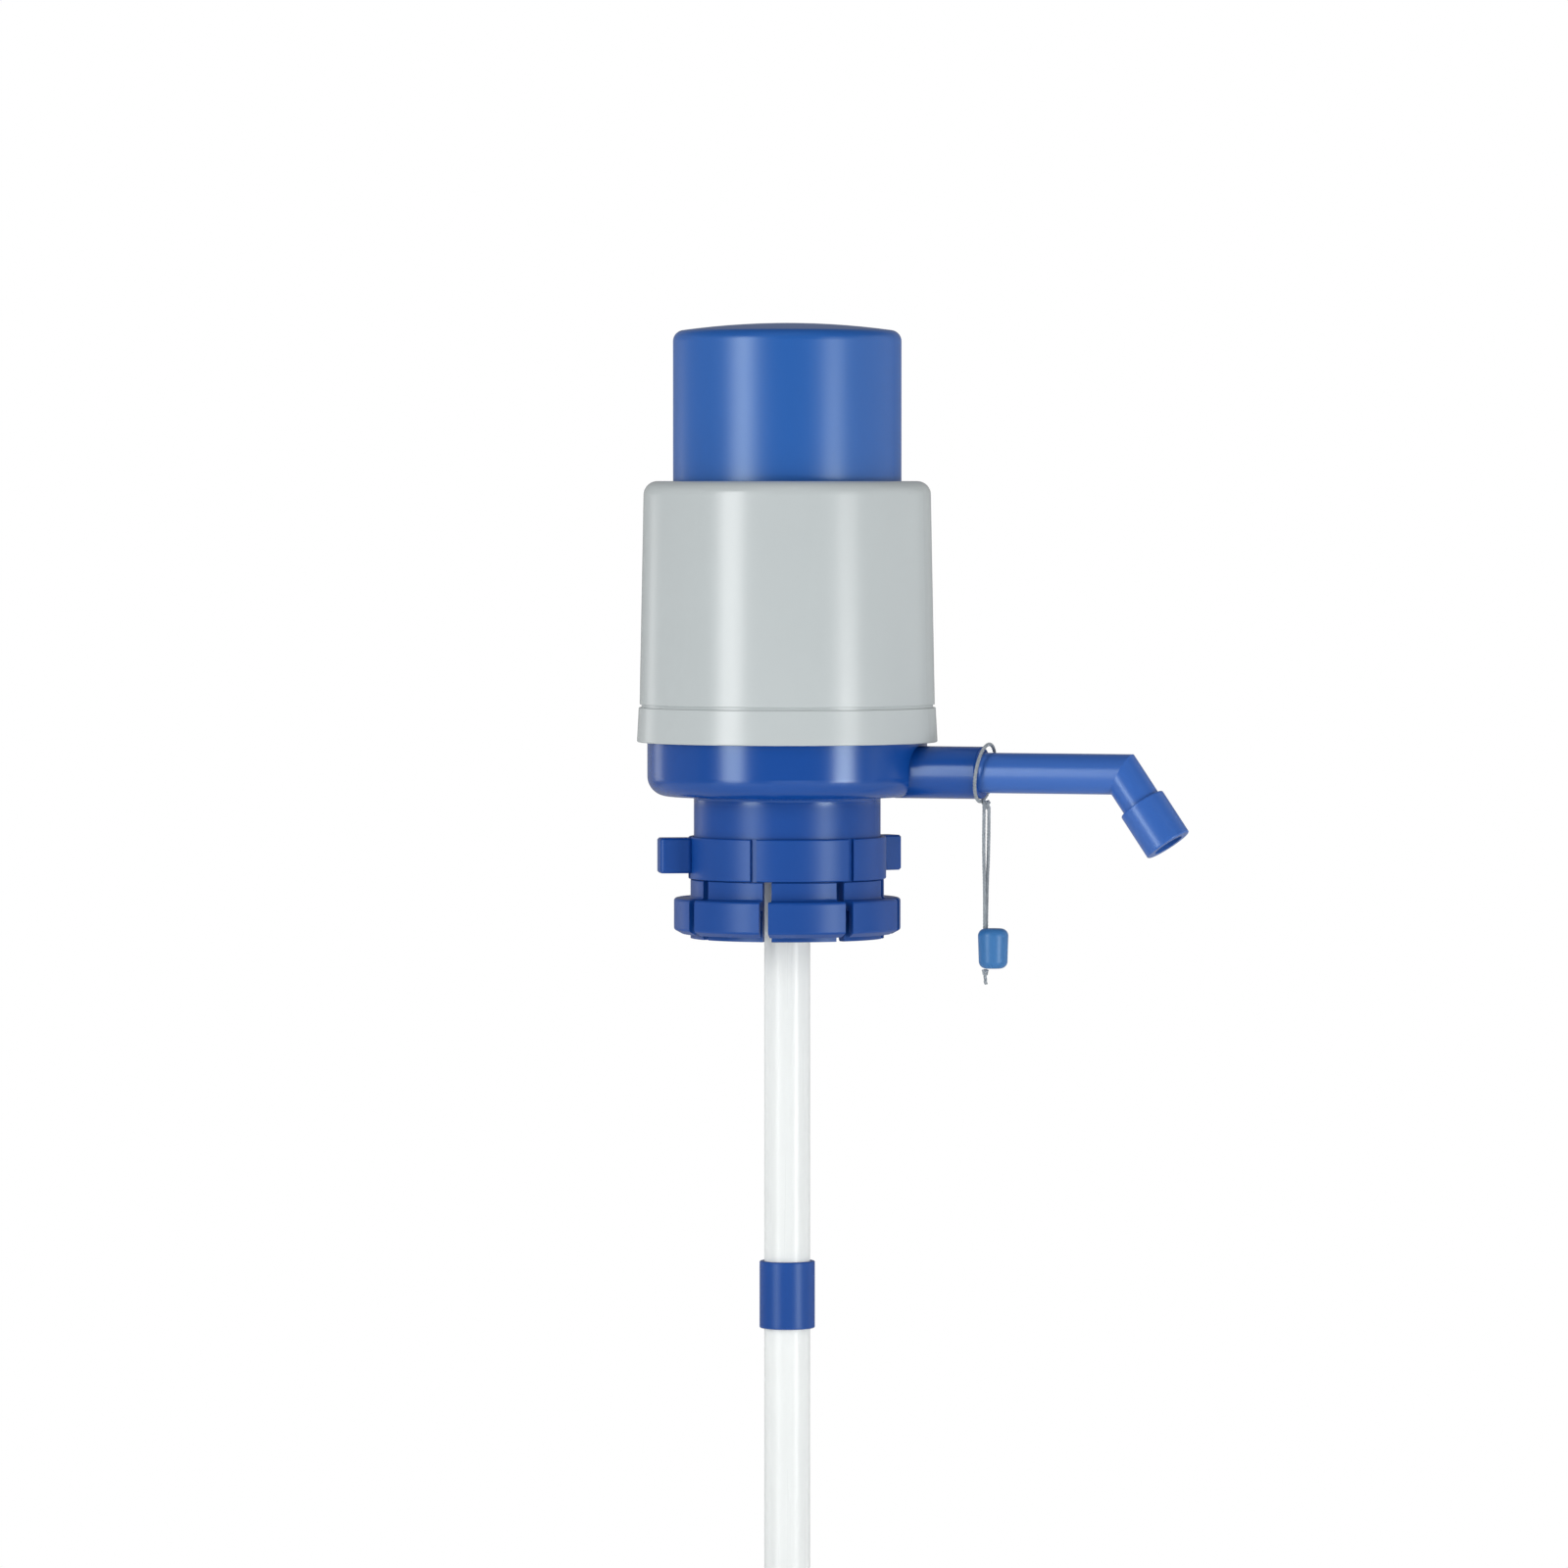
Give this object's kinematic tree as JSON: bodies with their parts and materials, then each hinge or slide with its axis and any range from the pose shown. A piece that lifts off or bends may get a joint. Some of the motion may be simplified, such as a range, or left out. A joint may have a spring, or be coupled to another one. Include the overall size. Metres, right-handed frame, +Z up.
{
  "type": "water jug hand pump",
  "caption": "Hand press pump for a large water bottle: domed push cap in a round housing, collet base, bent spout and suction tube.",
  "frame": {"origin": "centre of the bottle neck's rim, where the neck gasket lies on it", "axes": "+Z up out of the bottle along the pump's axis, +X along the spout"},
  "size_m": [0.1859, 0.0982, 0.6168],
  "materials": {
    "cap_blue": "moulded, satin gloss",
    "housing_grey": "moulded, satin gloss",
    "base_blue": "moulded, satin gloss",
    "spout_blue": "moulded, glossy",
    "tube_white": "extruded, milky and smooth",
    "bellows_rubber": "moulded, matte",
    "seal_rubber": "silicone, satin",
    "string_grey": "braided nylon",
    "stopper_blue": "moulded, satin"
  },
  "bodies": {
    "pump_body": {"base": "base_blue", "housing": "housing_grey", "bellows": "bellows_rubber", "bellows_hoop": "base_blue", "outlet_valve": "seal_rubber", "neck_gasket": "seal_rubber", "suction_nipple": "base_blue", "nipple_seal": "seal_rubber", "upper_tube": "tube_white", "upper_coupling": "base_blue", "middle_tube": "tube_white", "lower_coupling": "base_blue", "lower_tube": "tube_white", "string_loop": "string_grey", "string_knot": "string_grey", "string_front": "string_grey", "string_back": "string_grey", "dust_plug": "stopper_blue", "string_tail": "string_grey"},
    "cap": {"press_cap": "cap_blue", "valve_plug": "base_blue", "intake_valve": "seal_rubber"},
    "ring": {"clamp_ring": "base_blue"},
    "spout_arm": {"spout": "spout_blue", "spout_seal": "seal_rubber", "spout_tip": "spout_blue"}
  },
  "joints": [
    {"name": "cap_press", "type": "slide", "parent": "pump_body", "child": "cap", "axis": [0, 0, -1], "range_m": [0, 0.042], "stiffness_N_per_m": 350, "springref_m": -0.008, "deforming": ["bellows"]},
    {"name": "ring_slide", "type": "slide", "parent": "pump_body", "child": "ring", "axis": [0, 0, 1], "range_m": [0, 0.011]},
    {"name": "spout_swivel", "type": "hinge", "parent": "pump_body", "child": "spout_arm", "pos_m": [0.0592, 0, 0.0114], "axis": [1, 0, 0], "continuous": true}
  ]
}
